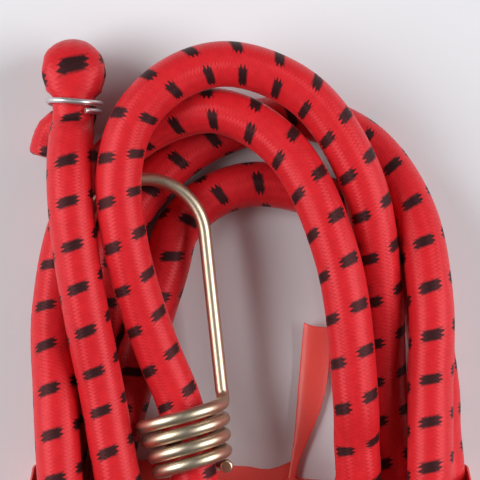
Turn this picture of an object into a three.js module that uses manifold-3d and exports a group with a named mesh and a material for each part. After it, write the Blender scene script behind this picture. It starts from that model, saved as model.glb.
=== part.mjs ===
// Bungee cord in a tied hank: a braided sheath over a rubber core, a wire hook with a conical coil
// at each end, and folded cord ends that are held by wire rings. Millimetres, +Z up, seen from above.
import * as THREE from "three";
import { mergeVertices } from "three/addons/utils/BufferGeometryUtils.js";
import Module from "manifold-3d";

const wasm = await Module();
wasm.setup();

// Cord
const CORD_DIAMETER = 10;
const SHEATH_WALL = 1.5;
const CORE_CLEARANCE = 0.3;
const CORE_INSET = 0.6;
const BORE_OVERRUN = 1;
const SECTION_STEP = 9;
const GAP_STEP = 2;
const SHEATH_SIDES = 8;
const CORE_SIDES = 6;
// The hank lies on this height: the lowest tenth of the cord is pressed flat
const FLAT_DEPTH = CORD_DIAMETER / 10;

// Folded cord end and its wire ring: the cord is pinched in the ring and swells to the fold's turn
const FOLD_WIDTH = 13.8;
const FOLD_TURN_WIDTHS = [13, 10.4, 13];
const FOLD_THICKNESS = 6.8;
const FOLD_REACH = 11.2;
const LEG_SPACING = 8.4;
const NECK_WIDTH = 11.8;
const NECK_DISTANCE = 3;
const PINCH_WIDTH = 9;
const PINCH_ABOVE = 1.7;
const PINCH_BELOW = 3.3;
const TAIL_LENGTH = 11.5;
const TAIL_THICKNESS = 8;
const TAIL_BEND_SHARE = 0.75;
const TAIL_SPREAD = 5.6;
const SECOND_TAIL_SPREAD = 8.4;
const RING_WIRE = 1.3;
const RING_CLEARANCE = 0.5;
const RING_START_DEG = -5;
const RING_OVERLAP_DEG = 70;
const RING_STEPS = 22;
const RING_SQUARENESS = 0.72;
const RING_1_TILT_DEG = -7;
const RING_HALF_WIDTH = (PINCH_WIDTH + RING_WIRE) / 2 + RING_CLEARANCE;
const RING_HALF_HEIGHT = (LEG_SPACING + FOLD_THICKNESS + RING_WIRE) / 2 + RING_CLEARANCE;
const RING_HEIGHT = FLAT_DEPTH + RING_HALF_HEIGHT + RING_WIRE / 2 + RING_CLEARANCE;
const RING_2_DISTANCE = 15.9;

// Wire hook with its conical coil
const HOOK_WIRE = 2.9;
const HOOK_SIDES = 8;
const COIL_WIDE_DIAMETER = 21.6;
const COIL_NARROW_DIAMETER = 17.4;
const COIL_TURNS = 4;
const COIL_PITCH = 3.45;
const COIL_STEPS_PER_TURN = 16;
const SHANK_START_DEG = 8;
const SHANK_BEND_RADIUS = 3;
const SHANK_BEND_STEPS = 3;
const BEND_RADIUS = 13.2;
const BEND_DISTANCE = 38.5;
const BEND_STEPS = 14;
const TIP_LENGTH = 3;

// Hank: the middle lines of its outermost strands, and the waist where crowns and heels meet
const HANK_WIDTH = 84.3;
const HANK_LENGTH = 148.3;
const HANK_LEFT = -39.6;
const HANK_TOP = 38.3;
const HANK_RIGHT = HANK_LEFT + HANK_WIDTH;
const HANK_BOTTOM = HANK_TOP - HANK_LENGTH;
const WAIST_Y = -52;
// How a leg leans from its shoulder to the waist: a power of the share of its length
const LEAN = 1.5;
const QUARTER_STEP = Math.PI / 6;

// Crowns run from a right leg over the top to a left leg, heels from a left leg under the bottom to the
// next right leg. Feet and shoulders are measured inwards from the hank's side, a crown's top down from
// the hank's top, and a heel up from its bottom. Heights are those at the waist, mid leg, shoulder, two
// points of the quarter, the end of the loop, and back along the other leg.
const CROWNS = {
  outer: {
    right: { foot: 10.7, shoulder: [14, -11] },
    top: [-2, 0],
    left: { foot: 30.2, shoulder: [13.3, 13.9] },
    heights: [7.6, 8.2, 13.5, 17, 17, 18.2, 20.2, 20.8, 20.8, 18, 15],
  },
  low: {
    right: { foot: 3.3, shoulder: [3.1, -13] },
    top: [13, 11.1],
    left: { foot: 0, shoulder: [9.2, -16], lean: 0.8 },
    heights: [17.7, 16.6, 16.6, 10.9, 5, 5, 5, 5, 5, 5.2, 7.5],
  },
  inner: {
    right: { foot: 0, shoulder: [1.1, -32] },
    top: [4.8, 25.9],
    left: { foot: 11, shoulder: [23.1, -7], lean: 0.8 },
    heights: [7.5, 5.2, 5, 5, 5, 5, 5, 5, 5, 5.2, 7.5],
  },
  second: {
    right: { foot: 18.9, shoulder: [19.5, -36] },
    top: [-5.4, 10],
    left: { foot: 0.4, shoulder: [-1.3, -15.2] },
    heights: [15.2, 17, 19.8, 20.9, 17.4, 14.6, 9.4, 5.4, 8.9, 15.4, 18.1],
  },
};
const HEELS = {
  first: {
    left: { foot: 13, shoulder: [17.6, 34] },
    bottom: [5, 11.4],
    right: { foot: 10.7, shoulder: [11.3, 36] },
    heights: [17.9, 16.6, 15.8, 15.8, 15.8, 15, 11, 6.4, 5, 5.6, 7.6],
  },
  second: {
    left: { foot: 30.2, shoulder: [36.1, 45] },
    bottom: [18, 27],
    right: { foot: 3.3, shoulder: [3.7, 46] },
    heights: [15, 15, 15, 15.2, 15.4, 15.8, 15.8, 15.8, 16, 16.8, 17.7],
  },
  third: {
    left: { foot: 0, shoulder: [1.1, 32] },
    bottom: [3, 0],
    right: { foot: 0, shoulder: [0.7, 36] },
    heights: [7.5, 5.6, 5, 5, 5, 5, 5, 5, 5, 5.6, 7.5],
  },
  fourth: {
    left: { foot: 11, shoulder: [12.8, 40] },
    bottom: [-2, 19],
    right: { foot: 18.9, shoulder: [22.1, 42], lean: 1 },
    heights: [7.5, 5.6, 5, 5, 5, 5, 5, 5, 6.2, 11, 15.2],
  },
};

// Stretches that are neither crown nor heel
const FIRST_LEG = [
  [-36.8, 22.4, 16.2], [-37.1, 16.4, 18.8], [-36.8, 8, 20.6], [-35.4, -4, 20.6], [-33.4, -16, 20],
  [-30.1, -33, 17.8],
];
const TO_FIRST_COIL = [[-25, 0, 20.6], [-21.8, -13, 18.4], [-18, -24, 16.4]];
const THROUGH_FIRST_COIL = [2, -6, -16, -27];
const INTO_SECOND_COIL = [-11, -4, 4];
// The way to the second hook and the hook's place, measured from the hank's lower left corner
const TO_SECOND_HOOK = [
  [1.2, 46, 16.9], [0, 30, 16], [-1.8, 14, 15.8], [-1.4, 0, 15.9], [3, -12, 15.9], [11.1, -19.4, 15.9],
];
const SECOND_HOOK = [30.6, -21.4, 15.9];
const fromCorner = ([x, y, z]) => [HANK_LEFT + x, HANK_BOTTOM + y, z];

// Flat plastic strip that ties the hank
const TIE_WIDTH = 6.5;
const TIE_THICKNESS = 0.5;
const TIE_CORNER = 5;
const TIE_CORNER_STEPS = 3;
const TIE_SLANT = -0.26;
const TIE_LEFT = HANK_LEFT - CORD_DIAMETER / 2 - 1.4;
const TIE_RIGHT = HANK_RIGHT + CORD_DIAMETER / 2 + 1;
const TIE_TOP = 24.4;
const TIE_Y = -52;
const TIE_KNOT = { at: [11.6, -54, 3], size: [1.9, 2.2, 2] };
// Beside the knot the strip is gathered: places along its lower run, and how far its edge is drawn in
const TIE_GATHER = [[11, 0], [12, 4.1], [21, 4.1], [27, 0]];
// Middle, height and width of the strip's loose tail, from the knot to its cut end
const TIE_TAIL = [
  [11.4, -53.5, 2.8, 1.6], [12.3, -48.5, 2.6, 1.6], [14.7, -40.6, 2.3, 4.5], [16.1, -33.3, 2.1, 6.5],
  [16.8, -26.5, 2.2, 6.5], [17.2, -18.6, 3.4, 6],
];

// First hook: its coil lies on the outer crown's left leg
const HOOK_1_COIL = new THREE.Vector3(-12.9, -37.5, 14.8);
const HOOK_1_TILT_DEG = 11.9;
// Second hook: at the far end of the cord, below the heels
const HOOK_2_COIL = new THREE.Vector3(...fromCorner(SECOND_HOOK));
const HOOK_2_TILT_DEG = -90;

// First folded end, above the left legs
const RING_1 = new THREE.Vector3(-36.5, 29.6, RING_HEIGHT);

const RED = 0xcf2a2e;
const DARK_RUBBER = 0x2a2624;
const YELLOW_ZINC = 0xbfb48c;
const BRIGHT_STEEL = 0xc4c4c6;
const STRIP_RED = 0xd8443a;

// Points of a solid closer than this are one point
const WELD_DISTANCE = 1e-4;
const UP = new THREE.Vector3(0, 0, 1);

const material = (color, roughness, metalness) =>
  new THREE.MeshStandardMaterial({ color, roughness, metalness });

const radians = (degrees) => THREE.MathUtils.degToRad(degrees);

// A point of the route with the width and thickness of the cord there
function station(x, y, z, width = CORD_DIAMETER, thickness = CORD_DIAMETER) {
  return { point: new THREE.Vector3(x, y, z), width, thickness };
}

// Stations of one crown or heel: leaning leg, quarter ellipse, quarter ellipse, leaning leg
function bight(first, end, last, heights) {
  const stations = [];
  const place = (x, y) => stations.push(station(x, y, heights[stations.length]));
  const lean = (leg, share) => {
    const x = THREE.MathUtils.lerp(leg.shoulder[0], leg.foot, share ** (leg.lean ?? LEAN));
    place(x, THREE.MathUtils.lerp(leg.shoulder[1], WAIST_Y, share));
  };
  const quarter = (leg, angle) => {
    const x = end[0] + (leg.shoulder[0] - end[0]) * Math.cos(angle);
    place(x, leg.shoulder[1] + (end[1] - leg.shoulder[1]) * Math.sin(angle));
  };
  lean(first, 1);
  lean(first, 0.5);
  for (const step of [0, 1, 2]) quarter(first, step * QUARTER_STEP);
  place(end[0], end[1]);
  for (const step of [2, 1, 0]) quarter(last, step * QUARTER_STEP);
  lean(last, 0.5);
  lean(last, 1);
  return stations;
}

// Legs of a table, with their shoulders above the given base, in the part's own coordinates
const rightLeg = ({ foot, shoulder, lean }, base) =>
  ({ foot: HANK_RIGHT - foot, shoulder: [HANK_RIGHT - shoulder[0], base + shoulder[1]], lean });
const leftLeg = ({ foot, shoulder, lean }, base) =>
  ({ foot: HANK_LEFT + foot, shoulder: [HANK_LEFT + shoulder[0], base + shoulder[1]], lean });

function crown({ right, top, left, heights }) {
  return bight(rightLeg(right, 0), [top[0], HANK_TOP - top[1]], leftLeg(left, 0), heights);
}

function heel({ left, bottom, right, heights }) {
  const end = [bottom[0], HANK_BOTTOM + bottom[1]];
  return bight(leftLeg(left, HANK_BOTTOM), end, rightLeg(right, HANK_BOTTOM), heights);
}

// Stations of a folded end, from its cut tail to where the main leg leaves the ring.
// The tail lies under the main leg, and spreads sideways by the given amount at its cut end.
function foldedEnd(ring, outward, spread) {
  const side = new THREE.Vector3().crossVectors(outward, UP);
  const low = -LEG_SPACING / 2;
  const straight = FOLD_REACH - LEG_SPACING / 2;
  const stations = [];
  const add = (along, across, height, width, thickness) => {
    const point = ring.clone().addScaledVector(outward, along).addScaledVector(side, across);
    point.z += height;
    stations.push({ point, width, thickness });
  };
  const tailHeight = CORD_DIAMETER / 2 - ring.z;
  add(-TAIL_LENGTH, spread, tailHeight, CORD_DIAMETER, CORD_DIAMETER);
  add(-TAIL_LENGTH / 2, spread * TAIL_BEND_SHARE, tailHeight, PINCH_WIDTH, TAIL_THICKNESS);
  add(-PINCH_BELOW, 0, low, PINCH_WIDTH, FOLD_THICKNESS);
  add(PINCH_ABOVE, 0, low, PINCH_WIDTH, FOLD_THICKNESS);
  add(NECK_DISTANCE, 0, low, NECK_WIDTH, FOLD_THICKNESS);
  add(straight, 0, low, FOLD_WIDTH, FOLD_THICKNESS);
  FOLD_TURN_WIDTHS.forEach((width, i) => {
    const angle = ((i + 1) * Math.PI) / (FOLD_TURN_WIDTHS.length + 1) - Math.PI / 2;
    const reach = straight + (LEG_SPACING / 2) * Math.cos(angle);
    add(reach, 0, (LEG_SPACING / 2) * Math.sin(angle), width, FOLD_THICKNESS);
  });
  add(straight, 0, -low, FOLD_WIDTH, FOLD_THICKNESS);
  add(NECK_DISTANCE, 0, -low, NECK_WIDTH, FOLD_THICKNESS);
  add(PINCH_ABOVE, 0, -low, PINCH_WIDTH, FOLD_THICKNESS);
  add(-PINCH_BELOW, 0, -low, PINCH_WIDTH, FOLD_THICKNESS);
  return stations;
}

// Direction from a hook's coil to its bend
function hookAlong(tiltDeg) {
  return new THREE.Vector3(-Math.sin(radians(tiltDeg)), Math.cos(radians(tiltDeg)), 0);
}

const ALONG_1 = hookAlong(HOOK_1_TILT_DEG);
const ALONG_2 = hookAlong(HOOK_2_TILT_DEG);
const COIL_LENGTH = COIL_TURNS * COIL_PITCH;
// Second folded end, past the second hook's coil
const RING_2 = HOOK_2_COIL.clone().addScaledVector(ALONG_2, RING_2_DISTANCE).setZ(RING_HEIGHT);

// The route of the cord's middle line, from the first cut tail to the second
function routeStations() {
  const stretch = (points) => points.map((point) => station(...point));
  const onAxis = (coil, along, places) =>
    places.map((place) => station(...coil.clone().addScaledVector(along, place)));
  return [
    ...foldedEnd(RING_1, new THREE.Vector3(0, 1, 0), -TAIL_SPREAD),
    ...stretch(FIRST_LEG),
    ...heel(HEELS.first),
    ...crown(CROWNS.outer).slice(1, -2),
    ...stretch(TO_FIRST_COIL),
    ...onAxis(HOOK_1_COIL, ALONG_1, THROUGH_FIRST_COIL),
    ...heel(HEELS.second).slice(3),
    ...crown(CROWNS.low).slice(1),
    ...heel(HEELS.third).slice(1),
    ...crown(CROWNS.inner).slice(1),
    ...heel(HEELS.fourth).slice(1),
    ...crown(CROWNS.second).slice(1),
    ...stretch(TO_SECOND_HOOK.map(fromCorner)),
    ...onAxis(HOOK_2_COIL, ALONG_2, INTO_SECOND_COIL),
    ...foldedEnd(RING_2, ALONG_2, -SECOND_TAIL_SPREAD).reverse(),
  ];
}

// Samples of a smooth curve through the stations, no further apart than the given step
function sampleRoute(stations, step) {
  const curve = new THREE.CatmullRomCurve3(stations.map((s) => s.point), false, "centripetal");
  const last = stations.length - 1;
  const samples = [];
  for (let i = 0; i < last; i += 1) {
    const [from, to] = [stations[i], stations[i + 1]];
    const count = Math.ceil(from.point.distanceTo(to.point) / step);
    for (let k = 0; k < count; k += 1) {
      const share = k / count;
      samples.push({
        point: curve.getPoint((i + share) / last),
        tangent: curve.getTangent((i + share) / last),
        width: THREE.MathUtils.lerp(from.width, to.width, share),
        thickness: THREE.MathUtils.lerp(from.thickness, to.thickness, share),
      });
    }
  }
  const end = stations[last];
  samples.push({ ...end, point: end.point.clone(), tangent: curve.getTangent(1) });
  return levelEnds(addFrames(samples));
}

// Side and normal directions that turn no more than the path does
function addFrames(samples) {
  let side = new THREE.Vector3().crossVectors(samples[0].tangent, UP).normalize();
  samples.forEach((sample, i) => {
    if (i > 0) {
      const turn = new THREE.Quaternion().setFromUnitVectors(samples[i - 1].tangent, sample.tangent);
      side = side.clone().applyQuaternion(turn);
      side.addScaledVector(sample.tangent, -side.dot(sample.tangent)).normalize();
    }
    sample.side = side;
    sample.normal = new THREE.Vector3().crossVectors(side, sample.tangent);
  });
  return samples;
}

// Spreads a twist along the cord, so that its folded far end lies as level as its first
function levelEnds(samples) {
  const last = samples[samples.length - 1];
  const level = new THREE.Vector3().crossVectors(last.tangent, UP).normalize();
  const twist = Math.atan(level.dot(last.normal) / level.dot(last.side));
  samples.forEach((sample, i) => {
    const angle = (-twist * i) / (samples.length - 1);
    sample.side = sample.side.clone().applyAxisAngle(sample.tangent, angle);
    sample.normal = new THREE.Vector3().crossVectors(sample.side, sample.tangent);
  });
  return samples;
}

// Closed ring of points round a sample, with its section drawn in by the given amount
function sectionRing(sample, sides, inset) {
  const ring = [];
  const share = 1 - (2 * inset) / CORD_DIAMETER;
  for (let k = 0; k < sides; k += 1) {
    const angle = ((k + 0.5) * 2 * Math.PI) / sides;
    ring.push(sample.point.clone()
      .addScaledVector(sample.side, Math.cos(angle) * share * sample.width / 2)
      .addScaledVector(sample.normal, Math.sin(angle) * share * sample.thickness / 2));
  }
  return ring;
}

// Triangles of a closed skin: walls between rings, with a fan at each end
function skin(rings) {
  const sides = rings[0].length;
  const positions = rings.flat();
  const index = [];
  for (let i = 0; i + 1 < rings.length; i += 1) {
    for (let k = 0; k < sides; k += 1) {
      const a = i * sides + k;
      const b = i * sides + ((k + 1) % sides);
      index.push(a, a + sides, b, b, a + sides, b + sides);
    }
  }
  const lastRing = (rings.length - 1) * sides;
  for (let k = 1; k + 1 < sides; k += 1) {
    index.push(0, k, k + 1);
    index.push(lastRing, lastRing + k + 1, lastRing + k);
  }
  const geometry = new THREE.BufferGeometry().setFromPoints(positions);
  geometry.setIndex(index);
  return geometry;
}

// A closed three.js geometry as a solid that can be joined and cut
function toSolid(geometry) {
  const bare = geometry.clone();
  bare.deleteAttribute("normal");
  bare.deleteAttribute("uv");
  const merged = mergeVertices(bare, WELD_DISTANCE);
  return new wasm.Manifold(new wasm.Mesh({
    numProp: 3,
    vertProperties: new Float32Array(merged.attributes.position.array),
    triVerts: new Uint32Array(merged.index.array),
  }));
}

function toGeometry(solid) {
  const mesh = solid.getMesh();
  const geometry = new THREE.BufferGeometry();
  geometry.setAttribute("position", new THREE.BufferAttribute(new Float32Array(mesh.vertProperties), 3));
  geometry.setIndex(new THREE.BufferAttribute(new Uint32Array(mesh.triVerts), 1));
  geometry.computeVertexNormals();
  return geometry;
}

// Everything below the height that the hank lies on
function underFloor() {
  const size = 2 * (HANK_WIDTH + HANK_LENGTH);
  return toSolid(new THREE.BoxGeometry(size, size, size).translate(0, 0, FLAT_DEPTH - size / 2));
}

// The same samples with both ends moved out along the cord by the given amount
function lengthened(samples, amount) {
  const first = samples[0];
  const last = samples[samples.length - 1];
  return [
    { ...first, point: first.point.clone().addScaledVector(first.tangent, -amount) },
    ...samples.slice(1, -1),
    { ...last, point: last.point.clone().addScaledVector(last.tangent, amount) },
  ];
}

// Braided sheath: a tube with its bore, pressed flat where the hank lies on it
function braidedSheath(samples) {
  const outside = toSolid(skin(samples.map((s) => sectionRing(s, SHEATH_SIDES, 0))));
  const through = lengthened(samples, BORE_OVERRUN);
  const bore = toSolid(skin(through.map((s) => sectionRing(s, CORE_SIDES, SHEATH_WALL))));
  return toGeometry(outside.subtract(bore).subtract(underFloor()));
}

// Rubber core, a little short of the sheath's cut ends
function rubberCore(samples) {
  const inside = lengthened(samples, -CORE_INSET);
  return skin(inside.map((s) => sectionRing(s, CORE_SIDES, SHEATH_WALL + CORE_CLEARANCE)));
}

// Round wire along a list of points
function wire(points, diameter, sides) {
  const samples = points.map((point, i) => {
    const before = points[Math.max(i - 1, 0)];
    const after = points[Math.min(i + 1, points.length - 1)];
    const tangent = after.clone().sub(before).normalize();
    return { point, tangent, width: diameter, thickness: diameter };
  });
  return skin(addFrames(samples).map((s) => sectionRing(s, sides, 0)));
}

// Wire hook in its own axes: coil axis along +Y from the wide end at the origin, shank towards +X
function wireHook() {
  const at = (side, along, up) => new THREE.Vector3(side, along, up);
  const wide = (COIL_WIDE_DIAMETER - HOOK_WIRE) / 2;
  const narrow = (COIL_NARROW_DIAMETER - HOOK_WIRE) / 2;
  const start = radians(SHANK_START_DEG);
  const points = [];

  const foot = at(
    wide * Math.cos(start) + SHANK_BEND_RADIUS * Math.sin(start),
    SHANK_BEND_RADIUS,
    wide * Math.sin(start) - SHANK_BEND_RADIUS * Math.cos(start),
  );
  const reach = Math.hypot(foot.x, BEND_DISTANCE - foot.y);
  const tangentAngle = Math.atan2(foot.y - BEND_DISTANCE, foot.x) + Math.acos(BEND_RADIUS / reach);
  const onBend = (angle) =>
    at(BEND_RADIUS * Math.cos(angle), BEND_DISTANCE + BEND_RADIUS * Math.sin(angle), foot.z);

  points.push(at(-BEND_RADIUS, BEND_DISTANCE - TIP_LENGTH, foot.z));
  for (let i = 0; i <= BEND_STEPS; i += 1) {
    points.push(onBend(THREE.MathUtils.lerp(Math.PI, tangentAngle, i / BEND_STEPS)));
  }
  points.push(foot);
  const sweep = at(-Math.sin(start), 0, Math.cos(start));
  for (let i = 1; i < SHANK_BEND_STEPS; i += 1) {
    const angle = (i * Math.PI) / (2 * SHANK_BEND_STEPS);
    points.push(foot.clone()
      .addScaledVector(sweep, SHANK_BEND_RADIUS * (1 - Math.cos(angle)))
      .add(at(0, -SHANK_BEND_RADIUS * Math.sin(angle), 0)));
  }
  const steps = Math.round(COIL_TURNS * COIL_STEPS_PER_TURN);
  for (let i = 0; i <= steps; i += 1) {
    const share = i / steps;
    const angle = start + share * COIL_TURNS * 2 * Math.PI;
    const radius = THREE.MathUtils.lerp(wide, narrow, share);
    points.push(at(radius * Math.cos(angle), -share * COIL_LENGTH, radius * Math.sin(angle)));
  }
  return wire(points, HOOK_WIRE, HOOK_SIDES);
}

// Open wire ring pinched round the two legs of a folded end, with its ends side by side
function endRing() {
  const points = [];
  const sweep = radians(360 + RING_OVERLAP_DEG);
  for (let i = 0; i <= RING_STEPS; i += 1) {
    const share = i / RING_STEPS;
    const angle = radians(RING_START_DEG) + share * sweep;
    const [c, s] = [Math.cos(angle), Math.sin(angle)];
    points.push(new THREE.Vector3(
      RING_HALF_WIDTH * Math.sign(c) * Math.abs(c) ** RING_SQUARENESS,
      (0.5 - share) * (RING_WIRE + RING_CLEARANCE) * (sweep / (2 * Math.PI)),
      RING_HALF_HEIGHT * Math.sign(s) * Math.abs(s) ** RING_SQUARENESS,
    ));
  }
  return wire(points, RING_WIRE, CORE_SIDES);
}

// Tie: a flat band round the waist of the hank, with a knot and a loose tail
function hankTie() {
  const outline = tieLoop(0);
  outline.holes.push(tieLoop(TIE_THICKNESS));
  const profile = { depth: TIE_WIDTH, bevelEnabled: false, curveSegments: TIE_CORNER_STEPS };
  const band = new THREE.ExtrudeGeometry(outline, profile);
  band.rotateX(Math.PI / 2).translate(0, TIE_Y + TIE_WIDTH / 2, 0);
  gatherUpperEdge(band.attributes.position);
  band.applyMatrix4(new THREE.Matrix4().makeShear(0, 0, 0, 0, 0, TIE_SLANT));

  const knot = new THREE.IcosahedronGeometry(1, 1).scale(...TIE_KNOT.size).translate(...TIE_KNOT.at);
  return toGeometry(toSolid(band).add(toSolid(knot)).add(toSolid(tieTail())));
}

// One face of the band seen along the hank, drawn in by the given amount: a rounded box that has a
// point on its lower side at each place of the gather
function tieLoop(inset) {
  const corner = TIE_CORNER - inset;
  const [left, right] = [TIE_LEFT + TIE_CORNER, TIE_RIGHT - TIE_CORNER];
  const [bottom, top] = [FLAT_DEPTH + TIE_CORNER, TIE_TOP - TIE_CORNER];
  const shape = new THREE.Shape();
  shape.moveTo(left, bottom - corner);
  TIE_GATHER.forEach(([x]) => shape.lineTo(x, bottom - corner));
  shape.absarc(right, bottom, corner, -Math.PI / 2, 0);
  shape.absarc(right, top, corner, 0, Math.PI / 2);
  shape.absarc(left, top, corner, Math.PI / 2, Math.PI);
  shape.absarc(left, bottom, corner, Math.PI, 1.5 * Math.PI);
  return shape;
}

// Draws the band's upper edge in at the places of the gather
function gatherUpperEdge(position) {
  for (let i = 0; i < position.count; i += 1) {
    const drawn = TIE_GATHER.find(([x]) => Math.abs(x - position.getX(i)) < WELD_DISTANCE);
    const isUpper = position.getY(i) > TIE_Y;
    if (drawn && isUpper) position.setY(i, position.getY(i) - drawn[1]);
  }
}

// Loose tail of the tie: flat sections that lie across its path
function tieTail() {
  const points = TIE_TAIL.map(([x, y, z]) => new THREE.Vector3(x, y, z));
  const curve = new THREE.CatmullRomCurve3(points, false, "centripetal");
  const rings = TIE_TAIL.map(([, , , width], i) => {
    const tangent = curve.getTangent(i / (TIE_TAIL.length - 1));
    const side = new THREE.Vector3().crossVectors(tangent, UP).setLength(width / 2);
    const normal = new THREE.Vector3().crossVectors(side, tangent).setLength(TIE_THICKNESS / 2);
    return [[1, 1], [-1, 1], [-1, -1], [1, -1]].map(([across, up]) =>
      points[i].clone().addScaledVector(side, across).addScaledVector(normal, up));
  });
  return skin(rings);
}

// Least gap of the cord to itself, between points further apart along it than a fold's turn
function leastGap(samples) {
  const near = 2 * FOLD_WIDTH;
  const reach = (s, direction) => Math.hypot(
    (s.width / 2) * direction.dot(s.side),
    (s.thickness / 2) * direction.dot(s.normal),
  );
  const along = [0];
  for (let i = 1; i < samples.length; i += 1) {
    along.push(along[i - 1] + samples[i].point.distanceTo(samples[i - 1].point));
  }
  let least = { gap: Infinity };
  for (let i = 0; i < samples.length; i += 1) {
    for (let j = i + 1; j < samples.length; j += 1) {
      if (along[j] - along[i] < LEG_SPACING + CORD_DIAMETER) continue;
      const direction = samples[j].point.clone().sub(samples[i].point);
      const distance = direction.length();
      if (distance > near) continue;
      direction.divideScalar(distance);
      const gap = distance - reach(samples[i], direction) - reach(samples[j], direction);
      if (gap < least.gap) least = { gap };
    }
  }
  return { ...least, length: along[along.length - 1] };
}

const stations = routeStations();
const least = leastGap(sampleRoute(stations, GAP_STEP));
console.log(`cord ${least.length.toFixed(0)} mm, least gap to itself ${least.gap.toFixed(2)} mm`);

const samples = sampleRoute(stations, SECTION_STEP);
const part = new THREE.Group();
function addPiece(name, geometry, look) {
  const mesh = new THREE.Mesh(geometry, look);
  mesh.name = name;
  part.add(mesh);
  return mesh;
}

addPiece("braided_sheath", braidedSheath(samples), material(RED, 0.75, 0));
addPiece("rubber_core", rubberCore(samples), material(DARK_RUBBER, 0.9, 0));

const zinc = material(YELLOW_ZINC, 0.35, 0.9);
const hookPlaces = [[HOOK_1_COIL, HOOK_1_TILT_DEG], [HOOK_2_COIL, HOOK_2_TILT_DEG]];
hookPlaces.forEach(([place, tilt], i) => {
  const hook = addPiece(`hook_${i + 1}`, wireHook(), zinc);
  hook.position.copy(place);
  hook.rotation.z = radians(tilt);
});

const steel = material(BRIGHT_STEEL, 0.4, 0.9);
const ringPlaces = [[RING_1, RING_1_TILT_DEG], [RING_2, HOOK_2_TILT_DEG]];
ringPlaces.forEach(([place, tilt], i) => {
  const ring = addPiece(`end_ring_${i + 1}`, endRing(), steel);
  ring.position.copy(place);
  ring.rotation.z = radians(tilt);
});

addPiece("hank_tie", hankTie(), material(STRIP_RED, 0.5, 0));

// Move the part so that it stands on z = 0 with the middle of its box over the origin
const box = new THREE.Box3().setFromObject(part, true);
const middle = box.getCenter(new THREE.Vector3()).setZ(box.min.z);
part.children.forEach((mesh) => mesh.position.sub(middle));
console.log(`moved by ${middle.negate().toArray().map((v) => v.toFixed(3))} mm`);

export default part;
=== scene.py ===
"""Bungee cord in a tied hank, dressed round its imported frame. Sizes of the route are in millimetres."""
import bpy
import math
import numpy as np
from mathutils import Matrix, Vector


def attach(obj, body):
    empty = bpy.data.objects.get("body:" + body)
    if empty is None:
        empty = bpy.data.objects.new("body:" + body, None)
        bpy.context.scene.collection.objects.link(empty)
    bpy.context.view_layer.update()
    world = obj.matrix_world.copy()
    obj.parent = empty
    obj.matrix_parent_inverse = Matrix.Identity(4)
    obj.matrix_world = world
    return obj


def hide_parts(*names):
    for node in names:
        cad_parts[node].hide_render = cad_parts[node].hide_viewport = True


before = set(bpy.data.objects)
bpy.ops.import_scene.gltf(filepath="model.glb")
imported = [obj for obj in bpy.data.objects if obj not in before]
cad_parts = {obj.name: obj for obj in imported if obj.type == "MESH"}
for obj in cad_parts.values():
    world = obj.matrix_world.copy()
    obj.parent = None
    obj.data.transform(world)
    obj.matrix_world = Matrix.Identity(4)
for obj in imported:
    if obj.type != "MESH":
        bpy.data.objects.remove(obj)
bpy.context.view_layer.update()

MM = 0.001
# From the route's own origin to the frame's origin
SHIFT = np.array((-2.053, 50.913, -1.0))
UP = np.array((0.0, 0.0, 1.0))

# Camera: straight above, the photograph's square frame over the route's origin
FRAME_SIZE = 104.35
CAMERA_DISTANCE = 700.0
CAMERA_FOCUS_HEIGHT = 19.0
SENSOR_WIDTH = 36.0

# Cord
CORD_DIAMETER = 10.0
CORE_DIAMETER = 6.4
CORE_INSET = 0.6
SECTION_SPACING = 1.3
CORD_SIDES = 36
CORE_SIDES = 18
CORE_SECTION_SKIP = 4
FLAT_DEPTH = 1.0
# Rim of the sheath's cut ends, from inside its bore to its full section: distance from the cut, share
CUT_RIM = [(2.0, 0.66), (0.25, 0.67), (0.0, 0.78), (0.3, 0.92), (1.0, 0.99)]
# Plain sections at each end that the rim takes the place of
RIM_SECTIONS = 2

# Folded cord ends
FOLD_WIDTH = 13.8
FOLD_TURN_WIDTHS = (13.0, 10.4, 13.0)
FOLD_THICKNESS = 6.8
FOLD_REACH = 11.2
LEG_SPACING = 8.4
NECK_WIDTH = 11.8
NECK_DISTANCE = 3.0
PINCH_WIDTH = 9.0
PINCH_ABOVE = 1.7
PINCH_BELOW = 3.3
TAIL_LENGTH = 11.5
TAIL_THICKNESS = 8.0
TAIL_BEND_SHARE = 0.75
TAIL_SPREAD = 5.6
SECOND_TAIL_SPREAD = 8.4

# End rings
RING_WIRE = 1.3
RING_CLEARANCE = 0.5
RING_START_DEG = -5.0
RING_OVERLAP_DEG = 70.0
RING_STEPS = 90
RING_SQUARENESS = 0.72
RING_1_TILT_DEG = -7.0
RING_HALF_WIDTH = (PINCH_WIDTH + RING_WIRE) / 2 + RING_CLEARANCE
RING_HALF_HEIGHT = (LEG_SPACING + FOLD_THICKNESS + RING_WIRE) / 2 + RING_CLEARANCE
RING_HEIGHT = FLAT_DEPTH + RING_HALF_HEIGHT + RING_WIRE / 2 + RING_CLEARANCE
RING_1 = np.array((-36.5, 29.6, RING_HEIGHT))
RING_2_DISTANCE = 15.9

# Hooks
HOOK_WIRE = 2.9
COIL_WIDE_DIAMETER = 21.6
COIL_NARROW_DIAMETER = 17.4
COIL_TURNS = 4.0
COIL_PITCH = 3.45
COIL_STEPS_PER_TURN = 48
COIL_LENGTH = COIL_TURNS * COIL_PITCH
SHANK_START_DEG = 8.0
SHANK_BEND_RADIUS = 3.0
SHANK_BEND_STEPS = 10
BEND_RADIUS = 13.2
BEND_DISTANCE = 38.5
BEND_STEPS = 40
TIP_LENGTH = 3.0
HOOK_1_COIL = np.array((-12.9, -37.5, 14.8))
HOOK_1_TILT_DEG = 11.9
HOOK_2_COIL = np.array((-9.0, -131.4, 15.9))
HOOK_2_TILT_DEG = -90.0

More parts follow.
